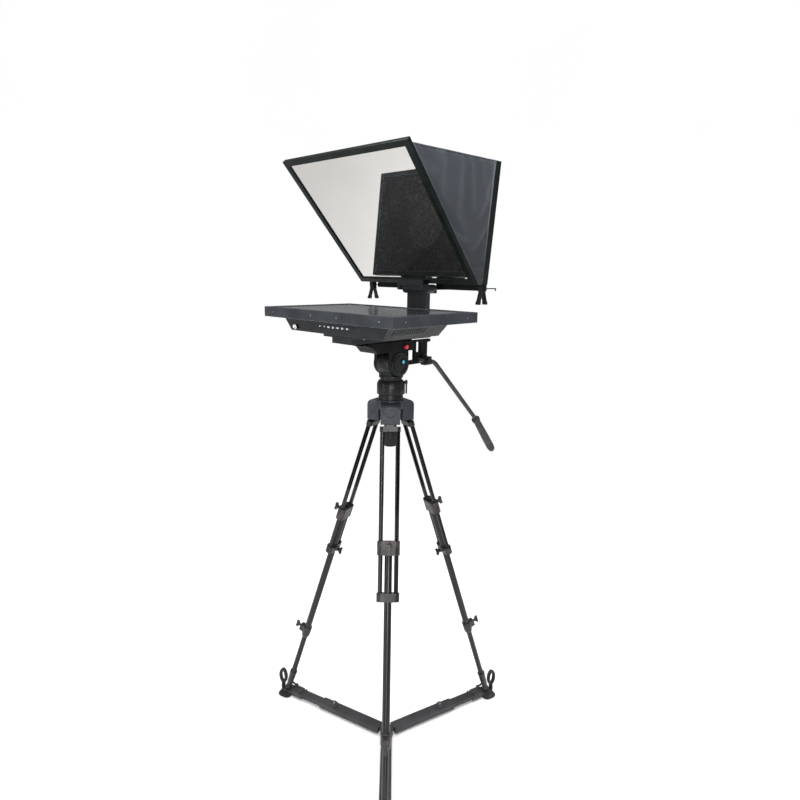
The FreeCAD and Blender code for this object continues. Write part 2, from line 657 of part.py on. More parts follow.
def monitor():
    middle = "monitor_middle"
    case = box(("monitor_width", "monitor_depth", "bezel_high - bezel_low"), (0, middle, "bezel_low"), "ccl")
    inside = ("monitor_width - 2*bezel_wall", "monitor_depth - 2*bezel_wall")
    pocket = box((*inside, "bezel_high - bezel_low - 2"), (0, middle, "bezel_low"), "ccl")
    window = box(("monitor_width - 2*rim_width", "monitor_depth - 2*rim_width", 60), (0, middle, 1430))
    bevelled = fillet(case, 2, lambda point, edge: abs(point.z - d.bezel_high) < 1 or edge.Length < 30)
    keep("monitor_bezel", cut(bevelled, pocket, window))
    keep("screen_glass", group(box((*inside, 3), (0, middle, "bezel_high - 5"), "ccl")))
    keep("lcd_module", group(box((*inside, 14), (0, middle, "bezel_high - 19"), "ccl")))

    shell = housing_solid(0, d.housing_low, d.bezel_low)
    cavity = housing_solid(d.housing_wall, d.housing_low + d.housing_wall, d.bezel_low + 0.5)
    panel = box((*inside, 2), (0, middle, "bezel_low"), "ccl")
    mouth = box((400, 196, 10), (0, -112, "bezel_low"))
    keyholes = [rod("button_radius + face_gap", 20, place, "Y") for place in button_places()]
    vents = [box((40, 3, 14), (206, -200 + 9 * i, 1400)) for i in range(14)]
    fixings = [rod(2.3, 20, (x, y, "housing_low")) for x, y in vesa_holes()]
    ports = [box((17.4, 30, 8.4), (x, -6, 1397.6)) for x in (-60, -30, 0)]
    lock_hole = rod(5, 30, (-155, -225, 1392), "Y")
    rear = cut(fuse(cut(shell, cavity), panel), mouth, *keyholes, *vents, *fixings, *ports, lock_hole)
    keep("monitor_rear_housing", rear)

    board = box((170, 110, 1.6), (0, -75, 1392), "ccl")
    sockets = [
        cut(box((17, 24, 8), (x, 0, 1393.6), "chl"), box((14, 16, 5), (x, 1, 1395.1), "chl"))
        for x in (-60, -30, 0)
    ]
    chips = [box((size, size, 2.5), (x, -95, 1393.6), "ccl") for x, size in ((-40, 18), (20, 24), (60, 12))]
    posts = [rod(3, 10, (x, y, "housing_low + housing_wall"), hold="l") for x in (-78, 78) for y in (-125, -40)]
    keep("driver_board", fuse(board, *sockets, *chips, *posts))

    for number, (x, y, z) in enumerate(button_places(), start=1):
        keep(f"menu_button_{number}", group(rod("button_radius", 14, (x, y - 3.5, z), "Y", "l")))

    heads = [rod(2.5, 1.2, (x, -264.2, 1431), "Y", "l") for x in (-215, -45, 60, 215)]
    heads += [rod(2.5, 1.2, (side * 260.6, y, 1431), "X") for side in (-1, 1) for y in (-220, 20)]
    heads += [rod(4, 3, (x, y, 1371), hold="h") for x, y in vesa_holes() if abs(x) > d.rail_half_width]
    heads += [rod(5, 2.5, (x, 97, 1379), hold="l") for x in (-24, 24)]
    heads += [rod(3.2, 24, (0, y, 1345), hold="l") for y in (-60, 20)]
    keep("machine_screws", group(*heads))


def column():
    front = "column_front"
    post_height = "column_top - rail_high"
    size = ("2*rail_half_width", "column_thickness", post_height)
    post = box(size, (0, front, "rail_high"), "cll")
    foot = box(("2*rail_half_width", 44, 8), (0, "rail_back", "rail_high"), "chl")
    keep("column", fuse(post, foot))

    block = box((104, 32, 27), (0, 98, 1486), "cll")
    rounded = fillet(block, 12, lambda point, edge: abs(point.z - 1486) < 1 and abs(abs(point.x) - 52) < 1)
    front_lip = box((100, 6, 31), (0, 79.6, 1496), "chl")
    rear_lip = box((100, 2.8, 14), (0, 100.4, 1510), "cll")
    floor = box((100, 24, 19), (0, 76, 1496), "cll")
    trough = common(
        box((120, 20.8, 60), (0, "frame_foot_depth", 1515.4), "ccl"),
        box((120, 60, 60), (0, "frame_foot_depth", 1540)),
    )
    post_pocket = box(("2*rail_half_width", "column_thickness", 60), (0, front, "column_top"), "clh")
    channel = box((80.6, 300, 12.9), (0, 150, "column_top"), "ccl")
    bracket = cut(fuse(rounded, front_lip, rear_lip, floor), trough, post_pocket, channel)
    keep("column_bracket", bracket)

    slab = box((80, 220, 12), (0, 80, 1496.7), "cll")
    slots = []
    for middle in (222, 270):
        ends = [rod(3.3, 40, (0, middle + side * 15, 1500)) for side in (-1, 1)]
        slots += [box((6.6, 30, 40), (0, middle, 1500)), *ends]
    knob = fuse(rod(11, 10, (0, 184, 1484.7), hold="l"), rod(4, 14, (0, 184, 1484.7), hold="l"))
    keep("camera_plate", fuse(cut(slab, *slots), knob))


def glass_place():
    return FreeCAD.Placement(
        Vector(0, d.frame_foot_depth, d.frame_foot_height), FreeCAD.Rotation(Vector(1, 0, 0), d.frame_lean)
    )


def glass_and_frame():
    """Four mitred bars around the beam-splitter glass, leaning over the monitor."""
    bar = d.frame_bar
    outer = [
        ("-frame_bottom_half", "-frame_bar/2"), ("frame_bottom_half", "-frame_bar/2"),
        ("frame_top_half", "frame_length"), ("-frame_top_half", "frame_length"),
    ]
    inner = [
        ("-frame_bottom_half + frame_bar", "frame_bar/2"), ("frame_bottom_half - frame_bar", "frame_bar/2"),
        ("frame_top_half - frame_bar", "frame_length - frame_bar"),
        ("-frame_top_half + frame_bar", "frame_length - frame_bar"),
    ]
    bars = keep_aside(padded_body("GlassFrameBody", [outer, inner], "frame_thickness", middle=True), glass_place())
    hinge_barrel = rod(7.5, 96, (0, "frame_foot_depth", "frame_foot_height"), "X")
    keep("glass_frame", fuse(bars, hinge_barrel))
    glass = padded_body("GlassBody", [inner], "glass_thickness", middle=True)
    keep("beam_splitter_glass", glass, glass_place())


def half_width(z, inset):
    share = (z - d.hood_low) / (d.hood_high - d.hood_low)
    return d.frame_bottom_half + (d.frame_top_half - d.frame_bottom_half) * share - inset


def wedge_solid(profile, inset):
    """A solid between mirrored side walls that lean out as they rise, from a side outline (y, z)."""
    left = [Vector(-half_width(z, inset), y, z) for y, z in profile]
    right = [Vector(half_width(z, inset), y, z) for y, z in profile]
    rings = [left, right[::-1]]
    for i in range(len(profile)):
        j = (i + 1) % len(profile)
        rings.append([left[j], left[i], right[i], right[j]])
    faces = [Part.Face(Part.makePolygon(ring + [ring[0]])) for ring in rings]
    solid = Part.Solid(Part.Shell(faces))
    if solid.Volume < 0:
        solid.reverse()
    thing = doc.addObject("Part::Feature", "Wedge")
    thing.Shape = solid
    return thing


def rear_line(z, back):
    """The hood's rear leans forward as it goes down."""
    share = (z - d.hood_low) / (d.hood_high - d.hood_low)
    return 124 + 26 * share + back


def front_line(z, behind):
    """A line behind the glass frame's middle plane, by this distance."""
    lean = math.radians(d.frame_lean)
    along_frame = Vector(0, math.cos(lean), math.sin(lean))
    away = Vector(0, math.sin(lean), -math.cos(lean))
    start = Vector(0, d.frame_foot_depth, d.frame_foot_height) + away * behind
    return start.y + along_frame.y * (z - start.z) / along_frame.z


def hood():
    """Cloth cover, open towards the glass, with a lens opening in its back, and its rear frame."""
    low, high, skin = d.hood_low, d.hood_high, d.hood_skin
    gap = d.frame_thickness / 2 + 1
    outline = [(front_line(high, gap), high), (rear_line(high, 0), high), (rear_line(low, 0), low),
               (front_line(low, gap), low)]
    inner_high, inner_low = high - skin, low + skin
    hollow = [(front_line(inner_high, gap) - 60, inner_high), (rear_line(inner_high, -skin), inner_high),
              (rear_line(inner_low, -skin), inner_low), (front_line(inner_low, gap) - 60, inner_low)]
    lens = rod("lens_opening_radius", 60, (0, 138, 1690), "Y")
    keep("hood_cloth", cut(wedge_solid(outline, 0), wedge_solid(hollow, skin), lens))

    depth, bar = 24, 14
    frame_outline = [(rear_line(high, 0.3), high), (rear_line(high, depth), high),
                     (rear_line(low, depth), low), (rear_line(low, 0.3), low)]
    opening = [(rear_line(high - bar, -20), high - bar), (rear_line(high - bar, depth + 20), high - bar),
               (rear_line(low + bar, depth + 20), low + bar), (rear_line(low + bar, -20), low + bar)]
    ring = cut(wedge_solid(frame_outline, 0), wedge_solid(opening, bar))
    lugs = [box((22, 8, 18), (side * 222, 136, 1500), "ccl") for side in (-1, 1)]
    lugs += [box((159, 12, 19), (side * 125.5, 142, 1499), "cll") for side in (-1, 1)]
    hooks = []
    for side in (-1, 1):
        wire = rod(1.6, 48, (side * 231, 139, 1506), "Y", "l")
        tip = rod(1.6, 7, (side * 231, 186, 1506), hold="h")
        hooks.append(fuse(wire, tip, ball(1.6, (side * 231, 186, 1506))))
    keep("hood_rear_frame", fuse(ring, *lugs, *hooks))


def clip_jaw(side, facing):
    """One lever of a spring clip: a jaw above the pivot and a handle below it."""
    x = side * 220
    face = 136 + facing * 4.3
    jaw = box((14, 4, 22), (x, face if facing > 0 else face - 4, 1493), "cll")
    handle = box((13, 4, 32), (0, 0, 0), "cch")
    swung = keep_aside(
        handle,
        FreeCAD.Placement(Vector(x, 136 + facing * 6, 1496), FreeCAD.Rotation(Vector(1, 0, 0), facing * 18)),
    )
    pad = box((15, 5, 9), (0, 0, -27), "cch")
    tip = keep_aside(
        pad, FreeCAD.Placement(Vector(x, 136 + facing * 6, 1496), FreeCAD.Rotation(Vector(1, 0, 0), facing * 18))
    )
    return fuse(jaw, swung, tip)


def clips():
    """Two spring clips pinch the lugs under the hood's rear frame."""
    fixed = []
    for side, name in ((-1, "left"), (1, "right")):
        pin = rod(2, 20, (side * 220, 136, 1495), "X")
        knuckle = rod(4, 5, (side * 220, 136, 1495), "X")
        fixed.append(fuse(clip_jaw(side, 1), pin, knuckle, box((5, 6, 4), (side * 220, 136, 1495), "clc")))
        ears = [rod(4, 3.5, (side * 220 + shift, 136, 1495), "X") for shift in (-5, 5)]
        webs = [box((3.5, 7, 4), (side * 220 + shift, 136, 1495), "chc") for shift in (-5, 5)]
        lever = cut(
            fuse(clip_jaw(side, -1), *ears, *webs),
            rod("2 + fit_gap", 30, (side * 220, 136, 1495), "X"),
            box((5.6, 4.5, 12), (side * 220, 136, 1495), "ccc"),
        )
        keep(f"clip_{name}_lever", lever)
    keep("hood_clips", group(*fixed))


def build():
    for number, turn, block_distance in LEGS:
        turn = turn + d.first_leg_turn
        upper_stage(number, turn)
        mid_stage(number, turn, block_distance)
        lower_stage(number, turn)
        spreader_arm(number, turn)
    spreader_hub()
    crown()
    levelling_base()
    head_housing()
    tilt_cradle()
    pan_arm()
    prompter_base()
    monitor()
    column()
    glass_and_frame()
    hood()
    clips()
    doc.removeObject(PROBE.Name)
    doc.recompute()


def write():
    """Check every object, then write each sub-part to its own file."""
    failed = [thing.Label for thing in doc.Objects if "Invalid" in thing.State or "Error" in thing.State]
    failed += [label for label, thing in SUB_PARTS.items() if thing.Shape.isNull() or not thing.Shape.isValid()]
    if failed:
        raise RuntimeError("failed objects: " + ", ".join(failed))
    os.makedirs("parts", exist_ok=True)
    for label, thing in SUB_PARTS.items():
        thing.Shape.exportStep(f"parts/{label}.step")
        print(f"{label:28s} solids {len(thing.Shape.Solids)} volume {thing.Shape.Volume / 1000:.1f} cm3")
    print(len(SUB_PARTS), "sub-parts")


build()
write()
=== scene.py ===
import json
import math

import bmesh
import bpy
from mathutils import Matrix, Vector, noise


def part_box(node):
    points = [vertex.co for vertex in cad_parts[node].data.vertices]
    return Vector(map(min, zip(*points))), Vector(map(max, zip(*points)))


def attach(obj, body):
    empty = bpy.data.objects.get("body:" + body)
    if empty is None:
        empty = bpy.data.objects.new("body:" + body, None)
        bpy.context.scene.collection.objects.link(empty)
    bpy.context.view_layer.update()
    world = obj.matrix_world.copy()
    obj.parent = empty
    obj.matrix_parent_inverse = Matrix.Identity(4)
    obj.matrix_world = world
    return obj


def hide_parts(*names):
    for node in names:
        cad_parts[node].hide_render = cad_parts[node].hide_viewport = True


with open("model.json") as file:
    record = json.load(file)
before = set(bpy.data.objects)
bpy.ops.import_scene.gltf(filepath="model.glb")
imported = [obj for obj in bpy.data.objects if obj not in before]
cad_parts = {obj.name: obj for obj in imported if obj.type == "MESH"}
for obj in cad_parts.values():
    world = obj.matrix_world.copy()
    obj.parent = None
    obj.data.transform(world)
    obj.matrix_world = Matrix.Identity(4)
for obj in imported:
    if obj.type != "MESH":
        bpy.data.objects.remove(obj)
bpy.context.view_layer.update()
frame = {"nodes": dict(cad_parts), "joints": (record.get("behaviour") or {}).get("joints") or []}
NODES = frame["nodes"]
JOINTS = {joint["name"]: joint for joint in frame["joints"]}
LEGS = (1, 2, 3)
MM = 0.001
UP = Vector((0, 0, 1))


# ---------------------------------------------------------------- materials

class Shader:
    """A material under construction: short names for the nodes it needs."""

    def __init__(self, name):
        self.material = bpy.data.materials.new(name)
        self.material.use_nodes = True
        self.tree = self.material.node_tree
        self.surface = self.tree.nodes["Principled BSDF"]
        self.place = self.tree.nodes.new("ShaderNodeTexCoord").outputs["Object"]

    def node(self, kind, **values):
        made = self.tree.nodes.new(kind)
        for name, value in values.items():
            setattr(made, name, value)
        return made

    def link(self, source, target):
        self.tree.links.new(source, target)

    def noise(self, scale, detail=2.0, stretch=None, rough=0.5):
        made = self.node("ShaderNodeTexNoise")
        made.inputs["Scale"].default_value = scale
        made.inputs["Detail"].default_value = detail
        made.inputs["Roughness"].default_value = rough
        source = self.place
        if stretch:
            mapping = self.node("ShaderNodeMapping")
            mapping.inputs["Scale"].default_value = stretch
            self.link(self.place, mapping.inputs["Vector"])
            source = mapping.outputs[0]
        self.link(source, made.inputs["Vector"])
        return made.outputs[0]

    def spread(self, value, low, high, to_low=0.0, to_high=1.0):
        made = self.node("ShaderNodeMapRange")
        for name, number in (("From Min", low), ("From Max", high), ("To Min", to_low), ("To Max", to_high)):
            made.inputs[name].default_value = number
        self.link(value, made.inputs["Value"])
        return made.outputs[0]

    def maths(self, operation, first, second=None):
        made = self.node("ShaderNodeMath", operation=operation)
        for socket, value in zip(made.inputs, (first, second)):
            if isinstance(value, (int, float)):
                socket.default_value = value
            elif value is not None:
                self.link(value, socket)
        return made.outputs[0]

    def mix(self, share, first, second):
        made = self.node("ShaderNodeMix", data_type="RGBA")
        for socket, value in ((made.inputs[0], share), (made.inputs[6], first), (made.inputs[7], second)):
            if isinstance(value, (int, float)):
                socket.default_value = value
            elif isinstance(value, tuple):
                socket.default_value = (*value, 1.0)
            else:
                self.link(value, socket)
        return made.outputs[2]

    def along(self, origin, axis):
        """Distance of a point from origin, measured along axis."""
        offset = self.node("ShaderNodeVectorMath", operation="SUBTRACT")
        self.link(self.place, offset.inputs[0])
        offset.inputs[1].default_value = origin
        dot = self.node("ShaderNodeVectorMath", operation="DOT_PRODUCT")
        self.link(offset.outputs[0], dot.inputs[0])
        dot.inputs[1].default_value = axis
        return dot.outputs["Value"]

    def band(self, value, low, high):
        """1 between low and high, 0 elsewhere."""
        above = self.maths("GREATER_THAN", value, low)
        return self.maths("MULTIPLY", above, self.maths("LESS_THAN", value, high))

    def edges(self, radius=1.2 * MM, low=0.02, high=0.22):
        """1 on sharp outer and inner edges, fading over radius."""
        rounded = self.node("ShaderNodeBevel", samples=4)
        rounded.inputs["Radius"].default_value = radius
        geometry = self.node("ShaderNodeNewGeometry")
        dot = self.node("ShaderNodeVectorMath", operation="DOT_PRODUCT")
        self.link(rounded.outputs[0], dot.inputs[0])
        self.link(geometry.outputs["Normal"], dot.inputs[1])
        return self.spread(self.maths("SUBTRACT", 1.0, dot.outputs["Value"]), low, high)

    def bump(self, height, strength, distance=0.3 * MM, after=None):
        made = self.node("ShaderNodeBump")
        made.inputs["Strength"].default_value = strength
        made.inputs["Distance"].default_value = distance
        self.link(height, made.inputs["Height"])
        if after is not None:
            self.link(after, made.inputs["Normal"])
        return made.outputs[0]

    def finish(self, colour=None, rough=None, normal=None, **constants):
        for name, value in (("Base Color", colour), ("Roughness", rough), ("Normal", normal)):
            if value is None:
                continue
            if isinstance(value, tuple):
                self.surface.inputs[name].default_value = (*value, 1.0)
            elif isinstance(value, (int, float)):
                self.surface.inputs[name].default_value = value
            else:
                self.link(value, self.surface.inputs[name])
        for name, value in constants.items():
            self.surface.inputs[name.replace("_", " ")].default_value = value
        return self.material


def powder_coat(name, dark, light, rough, grain=1400, bump=0.12, worn_and_highlight_edge=None, wear_and_highlight_share=0.3, shine=0.28):
    """Sprayed or moulded skin: a fine grain, cloudy colour, and lighter edges: rubbed wear, and on the bezel
    also a painted highlight.
    """
    s = Shader(name)
    cloud = s.spread(s.noise(18, 4), 0.35, 0.65)
    colour = s.mix(cloud, dark, light)
    # lighter edges: wear, and where the edge colour is strong (the bezel) also a painted edge highlight
    rubbed_and_lit_edge = s.maths("MULTIPLY", s.edges(), s.spread(s.noise(90, 3), 0.3, 0.6, 0.25, 1.0))
    worn_and_highlight_edge = worn_and_highlight_edge or tuple(c * 3.2 + 0.05 for c in light)
    colour = s.mix(s.maths("MULTIPLY", rubbed_and_lit_edge, wear_and_highlight_share), colour, worn_and_highlight_edge)
    roughness = s.spread(s.noise(35, 3), 0.3, 0.7, rough - 0.07, rough + 0.08)
    normal = s.bump(s.noise(grain, 2), bump, 0.15 * MM)
    return s.finish(colour, roughness, normal, Specular_IOR_Level=shine)


def satin_tube(name, axis, dark, light, rough):
    """Anodised drawn tube, left open for more nodes: faint lines along its length and a satin highlight."""
    s = Shader(name)
    turn = Vector(axis).rotation_difference(UP).to_euler()
    mapping = s.node("ShaderNodeMapping")
    mapping.inputs["Rotation"].default_value = turn
    s.link(s.place, mapping.inputs["Vector"])
    s.place = mapping.outputs[0]
    lines = s.noise(260, 3, (1, 1, 0.015))
    colour = s.mix(s.spread(lines, 0.3, 0.7), dark, light)
    roughness = s.spread(lines, 0.3, 0.7, rough - 0.05, rough + 0.08)
    return s, colour, roughness, s.bump(lines, 0.03, 0.04 * MM)


def rubber(name, dark, light, rough=0.75, pebble=700):
    """Moulded rubber: a pebbled skin with dust lying on it."""
    s = Shader(name)
    cells = s.node("ShaderNodeTexVoronoi")
    cells.inputs["Scale"].default_value = pebble
    s.link(s.place, cells.inputs["Vector"])
    dust = s.spread(s.noise(26, 5), 0.45, 0.75)
    colour = s.mix(dust, dark, light)
    normal = s.bump(cells.outputs["Distance"], 0.25, 0.2 * MM)
    roughness = s.spread(s.noise(60, 2), 0.3, 0.7, rough - 0.08, rough + 0.1)
    return s.finish(colour, roughness, normal, Specular_IOR_Level=0.3)


def steel(name, colour, rough=0.28):
    """Brushed metal."""
    s = Shader(name)
    brushed = s.noise(900, 2, (1, 1, 0.1))
    tint = s.mix(s.spread(brushed, 0.3, 0.7), tuple(c * 0.8 for c in colour), colour)
    roughness = s.spread(brushed, 0.3, 0.7, rough - 0.06, rough + 0.1)
    return s.finish(tint, roughness, s.bump(brushed, 0.04, 0.05 * MM), Metallic=1.0)


def woven(name, shaded_low_colour, lit_high_colour, thread=1.1 * MM, rough=0.62):
    """Coated woven cloth: crossing threads, slubs, a soft sheen, and painted shade that darkens the cloth
    towards the bottom of the hood and lightens it towards the top.
    """
    s = Shader(name)
    split = s.node("ShaderNodeSeparateXYZ")
    s.link(s.place, split.inputs[0])
    # painted shade: the colour runs from darker at the hood's bottom to lighter at its top
    height = s.spread(split.outputs["Z"], HOOD_LOW.z, HOOD_HIGH.z)
    waves = math.tau / thread
    across = s.maths("ADD", split.outputs["X"], split.outputs["Y"])
    warp = s.maths("SINE", s.maths("MULTIPLY", across, waves))
    weft = s.maths("SINE", s.maths("MULTIPLY", split.outputs["Z"], waves))
    weave = s.maths("MULTIPLY", warp, weft)
    cloud = s.spread(s.noise(9, 5, None, 0.6), 0.3, 0.7, -0.22, 0.22)
    colour = s.mix(s.maths("ADD", height, cloud), shaded_low_colour, lit_high_colour)
    slub = s.spread(s.noise(420, 2), 0.4, 0.7, 0.0, 0.25)
    colour = s.mix(slub, colour, tuple(c * 1.35 for c in lit_high_colour))
    normal = s.bump(weave, 0.22, 0.12 * MM)
    normal = s.bump(s.noise(22, 4), 0.25, 1.2 * MM, normal)
    roughness = s.spread(s.noise(60, 3), 0.3, 0.7, rough - 0.06, rough + 0.08)
    return s.finish(colour, roughness, normal, Sheen_Weight=0.12, Sheen_Roughness=0.4,
                    Specular_IOR_Level=0.25)


def beam_splitter():
    """Part mirror, part clear: dust and a faint film break up the reflection."""
    s = Shader("coated_glass")
    film = s.spread(s.noise(5, 5), 0.3, 0.7, 0.006, 0.03)
    dust = s.spread(s.noise(900, 2), 0.62, 0.75, 0.0, 0.06)
    tint = s.mix(s.spread(s.noise(3, 3), 0.35, 0.65), (0.69, 0.67, 0.64), (0.635, 0.62, 0.60))
    return s.finish(tint, s.maths("ADD", film, dust), None, Metallic=1.0, Alpha=0.93)


def display():
    """Anti-glare display: dark, under a glossy face, with a fine speckle in its roughness and a paler speckle
    painted into its colour as a painted reflection.
    """
    s = Shader("anti_glare_screen")
    # painted reflection: the paler speckle in the colour stands in for a reflection on the screen
    painted_reflection_speck = s.spread(s.noise(130, 5, None, 0.7), 0.47, 0.62)
    reflection_speck_patch = s.spread(s.noise(13, 3), 0.38, 0.62, 0.35, 1.0)
    colour = s.mix(s.maths("MULTIPLY", painted_reflection_speck, reflection_speck_patch), (0.009, 0.010, 0.012), (0.034, 0.034, 0.036))
    rough = s.spread(s.noise(240, 3, None, 0.6), 0.35, 0.65, 0.16, 0.34)
    grain = s.bump(s.noise(800, 2), 0.16, 0.1 * MM)
    normal = s.bump(s.noise(75, 4, None, 0.6), 0.12, 0.5 * MM, grain)
    return s.finish(colour, rough, normal, Coat_Weight=0.35, Coat_Roughness=0.12)


def glossy(name, deep, pale, rough=0.16):
    """Coloured plastic under a clear, shiny skin."""
    s = Shader(name)
    colour = s.mix(s.spread(s.noise(300, 3), 0.3, 0.7), deep, pale)
    roughness = s.spread(s.noise(60, 2), 0.3, 0.7, rough - 0.05, rough + 0.06)
    return s.finish(colour, roughness, Coat_Weight=0.6)


def circuit_board():
    """Green solder mask with a net of paler tracks."""
    s = Shader("circuit_board")
    cells = s.node("ShaderNodeTexVoronoi", feature="DISTANCE_TO_EDGE")
    cells.inputs["Scale"].default_value = 160
    s.link(s.place, cells.inputs["Vector"])
    tracks = s.spread(cells.outputs["Distance"], 0.03, 0.06)
    colour = s.mix(tracks, (0.10, 0.30, 0.15), (0.02, 0.12, 0.06))
    return s.finish(colour, 0.4, s.bump(tracks, 0.2, 0.1 * MM))


# Where the castings of a leg sit, in metres down the leg from its hinge.
HINGE_CASTING = (-0.02, 0.0341)
COLLAR = (0.4919, 0.5162)
FOOT_CASTING = (1.07, 1.2)
GUIDE_BLOCK = {1: 0.367, 2: 0.332, 3: 0.361}


def leg_metal(number):
    """Black satin tubes; the castings that clamp them are rougher and greyer, with a warm mottle painted on
    them as a highlight.
    """
    axis = Vector(JOINTS[f"leg_{number}_mid_slide"]["axis"])
    hinge = Vector(JOINTS[f"leg_{number}_swing"]["pos_m"])
    s, tube, tube_rough, tube_normal = satin_tube(
        f"leg_{number}_metal", axis, (0.0035, 0.0035, 0.0035), (0.008, 0.0078, 0.0078), 0.30)
    s.place = s.tree.nodes["Texture Coordinate"].outputs["Object"]
    drop = s.maths("MULTIPLY", s.along(hinge, axis), -1.0)
    block = GUIDE_BLOCK[number]
    guide = (block - 0.0201, block + 0.0201)
    lower_clamp = (block + 0.494, block + 0.56)
    castings = s.band(drop, *HINGE_CASTING)
    for low, high in (guide, lower_clamp, COLLAR, FOOT_CASTING):
        castings = s.maths("ADD", castings, s.band(drop, low, high))
    # painted highlight: the warm brownish mottle on the castings stands in for mottled highlights
    highlight_mottle = s.spread(s.noise(46, 5, None, 0.6), 0.44, 0.66)
    casting = s.mix(highlight_mottle, (0.007, 0.007, 0.008), (0.040, 0.030, 0.027))
    casting = s.mix(s.band(drop, *HINGE_CASTING), casting, (0.007, 0.007, 0.0075))
    casting = s.mix(s.maths("MULTIPLY", s.edges(), 0.3), casting, (0.12, 0.11, 0.105))
    colour = s.mix(castings, tube, casting)
    rough = s.node("ShaderNodeMix", data_type="FLOAT")
    s.link(castings, rough.inputs[0])
    s.link(tube_rough, rough.inputs[2])
    rough.inputs[3].default_value = 0.38
    normal = s.bump(s.maths("MULTIPLY", s.noise(1200, 2), castings), 0.16, 0.15 * MM, tube_normal)
    return s.finish(colour, rough.outputs[0], normal, Specular_IOR_Level=0.32)


# ---------------------------------------------------------------- mesh helpers

def add_object(name, mesh, material, body, smooth=True):
    """Link a finished mesh, given in the row frame, and let it ride on a CAD body."""
    thing = bpy.data.objects.new(name, mesh)
    bpy.context.scene.collection.objects.link(thing)
    mesh.materials.append(material)
    if smooth:
        mesh.shade_smooth()
    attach(thing, body)
    return thing


def from_bmesh(bm, name):
    mesh = bpy.data.meshes.new(name)
    bmesh.ops.recalc_face_normals(bm, faces=bm.faces)
    bm.to_mesh(mesh)
    bm.free()
    return mesh


def look_frame(origin, axis):
    """A matrix whose Z runs along axis from origin."""
    z = Vector(axis).normalized()
    x = z.orthogonal().normalized()
    turn = Matrix((x, z.cross(x), z)).transposed().to_4x4()
    return Matrix.Translation(Vector(origin)) @ turn


def turns(count, start=0.0):
    """The angles of even steps round a circle, the first one start steps on."""
    return [math.tau * (i + start) / count for i in range(count)]


def bulge(value, power):
    """A power that keeps the sign: below 1, it swells a circle's outline into a rounded rectangle."""
    return math.copysign(abs(value) ** power, value)


def skin(bm, rings, closed=False, capped=True):
    """Faces between neighbouring rings, where a ring of one vertex is a pole. Closed joins last to first."""
    pairs = list(zip(rings, rings[1:]))
    if closed:
        pairs.append((rings[-1], rings[0]))
    for low, high in pairs:
        count = max(len(low), len(high))
        for i in range(count):
            j = (i + 1) % count
            around = (low[i % len(low)], low[j % len(low)], high[j % len(high)], high[i % len(high)])
            corners = list(dict.fromkeys(around))
            if len(corners) > 2:
                bm.faces.new(corners)
    if capped and not closed:
        for ring in (rings[0], rings[-1]):
            if len(ring) > 2:
                bm.faces.new(ring)


def lathe(bm, profile, place, segments):
    """Turn a profile of (radius, height), in millimetres, about the Z of place."""
    rings = []
    for radius, height in profile:
        angles = turns(segments) if radius else [0.0]
        rings.append([
            bm.verts.new(place @ (Vector((radius * math.cos(a), radius * math.sin(a), height)) * MM))
            for a in angles
        ])
    skin(bm, rings)


def directions(points, closed):
    """Which way a line of points runs at each of them."""
    last = len(points) - 1
    ahead = [points[(i + 1) % (last + 1) if closed else min(i + 1, last)] for i in range(last + 1)]
    behind = [points[i - 1 if closed else max(i - 1, 0)] for i in range(last + 1)]
    return [after - before for after, before in zip(ahead, behind)]


def tube_along(bm, points, radius, segments, closed=False):
    """A round tube along points, for piping and elastic."""
    rings = []
    side = None
    for point, direction in zip(points, directions(points, closed)):
        direction.normalize()
        if side is None:
            side = direction.orthogonal()
        side = (side - direction * side.dot(direction)).normalized()
        other = direction.cross(side)
        rings.append([
            bm.verts.new(point + radius * (side * math.cos(a) + other * math.sin(a)))
            for a in turns(segments)
        ])
    skin(bm, rings, closed)


def strap_along(bm, points, width_axis, width, thickness, closed=False):
    """A flat strap along points, its width along width_axis, with softened edges."""
    section = [
        (bulge(math.cos(a), 0.35) * width / 2, bulge(math.sin(a), 0.6) * thickness / 2) for a in turns(16)
    ]
    rings = []
    for point, direction in zip(points, directions(points, closed)):
        across = direction.cross(width_axis).normalized()
        rings.append([bm.verts.new(point + width_axis * w + across * t) for w, t in section])
    skin(bm, rings, closed)


def slab(bm, outline, place, low, high, rounding, segments):
    """Extrude a closed outline (x, y) between two heights and round its rims, all in millimetres."""
    base, top = (
        [bm.verts.new(place @ (Vector((x, y, height)) * MM)) for x, y in outline] for height in (low, high)
    )
    caps = [bm.faces.new(base[::-1]), bm.faces.new(top)]
    skin(bm, [base, top], capped=False)
    rims = list(dict.fromkeys(edge for face in caps for edge in face.edges))
    bmesh.ops.bevel(bm, geom=rims, offset=rounding * MM, segments=segments, affect="EDGES", profile=0.6)


def rectangle(x_low, x_high, y_low, y_high):
    return [(x_low, y_low), (x_high, y_low), (x_high, y_high), (x_low, y_high)]


def soften(thing, width):
    """Round the sharp edges of a CAD node for display: weld its seams, bevel, then even the shading."""
    weld = thing.modifiers.new("weld", "WELD")
    weld.merge_threshold = 0.01 * MM
    bevel = thing.modifiers.new("bevel", "BEVEL")
    bevel.limit_method = "ANGLE"
    bevel.angle_limit = math.radians(38)
    bevel.width = width
    bevel.segments = 2
    bevel.use_clamp_overlap = True
    bevel.harden_normals = True


# ---------------------------------------------------------------- leg pieces

def leg_place(number):
    """Leg frame: the hinge at the origin, Z up the leg, X outwards."""
    up = Vector(JOINTS[f"leg_{number}_mid_slide"]["axis"])
    across = -Vector(JOINTS[f"leg_{number}_swing"]["axis"])
    turn = Matrix((across.cross(up), across, up)).transposed().to_4x4()
    return Matrix.Translation(Vector(JOINTS[f"leg_{number}_swing"]["pos_m"])) @ turn


